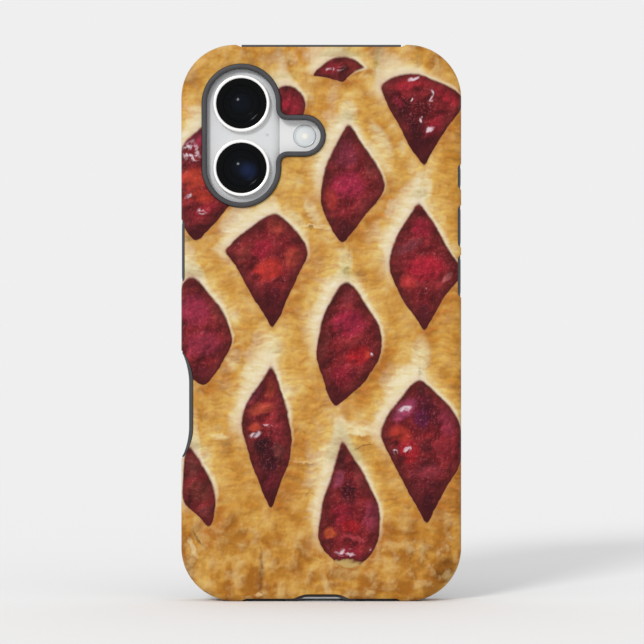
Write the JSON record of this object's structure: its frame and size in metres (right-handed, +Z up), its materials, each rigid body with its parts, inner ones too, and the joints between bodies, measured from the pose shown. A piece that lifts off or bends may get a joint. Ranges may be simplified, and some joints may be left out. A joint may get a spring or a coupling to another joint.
{
  "type": "phone in a protective case",
  "caption": "Slim phone with rear cameras in a printed hard case over a soft liner that forms the camera rim, button pads and screen lip, standing on its lower edge.",
  "frame": {"origin": "middle of the bottom of the bounding box", "axes": "+Z up along the phone, +Y out of the screen, -Y out of the printed back, +X to the right of someone who looks at the printed back"},
  "size_m": [0.0768, 0.012, 0.1529],
  "materials": {
    "printed_shell": "satin moulded plastic with a print of golden lattice over red fruit",
    "soft_liner": "matte dark grey flexible plastic",
    "phone_metal": "fine blasted and anodised",
    "white_glass": "opaque white glass with a satin face",
    "screen": "glossy black, screen off",
    "lens_ring": "polished",
    "lens_glass": "glossy, black beneath",
    "flash_cover": "milky glass"
  },
  "bodies": {
    "root": {"shell": "printed_shell", "liner": "soft_liner", "phone_frame": "phone_metal", "back_glass": "white_glass", "screen_glass": "screen", "camera_key": "phone_metal", "lens_ring_upper": "lens_ring", "lens_ring_lower": "lens_ring", "lens_glass_upper": "lens_glass", "lens_glass_lower": "lens_glass", "flash": "flash_cover"}
  },
  "joints": []
}
